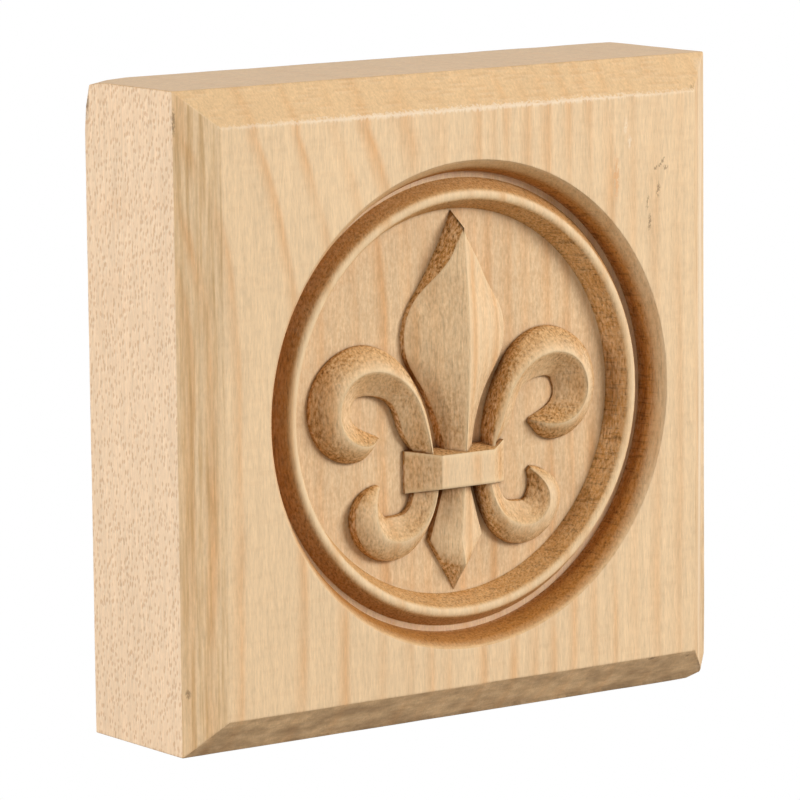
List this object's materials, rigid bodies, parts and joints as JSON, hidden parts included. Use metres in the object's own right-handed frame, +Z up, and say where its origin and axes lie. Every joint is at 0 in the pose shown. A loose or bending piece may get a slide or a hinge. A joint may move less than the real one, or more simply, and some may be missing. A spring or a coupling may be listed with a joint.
{
  "type": "corner rosette block",
  "caption": "Square maple corner block for door and window trim, with bevelled front edges and a fleur-de-lis carved in a turned ring.",
  "frame": {"origin": "centre of the flat back face, which sits against the wall", "axes": "+X to the right as seen from the front, +Z up along the grain, +Y out of the back into the wall; the carved front faces -Y"},
  "size_m": [0.0888, 0.0254, 0.0888],
  "materials": {
    "maple": "sanded, unfinished hard maple"
  },
  "bodies": {
    "root": {"rosette_block": "maple"}
  },
  "joints": []
}
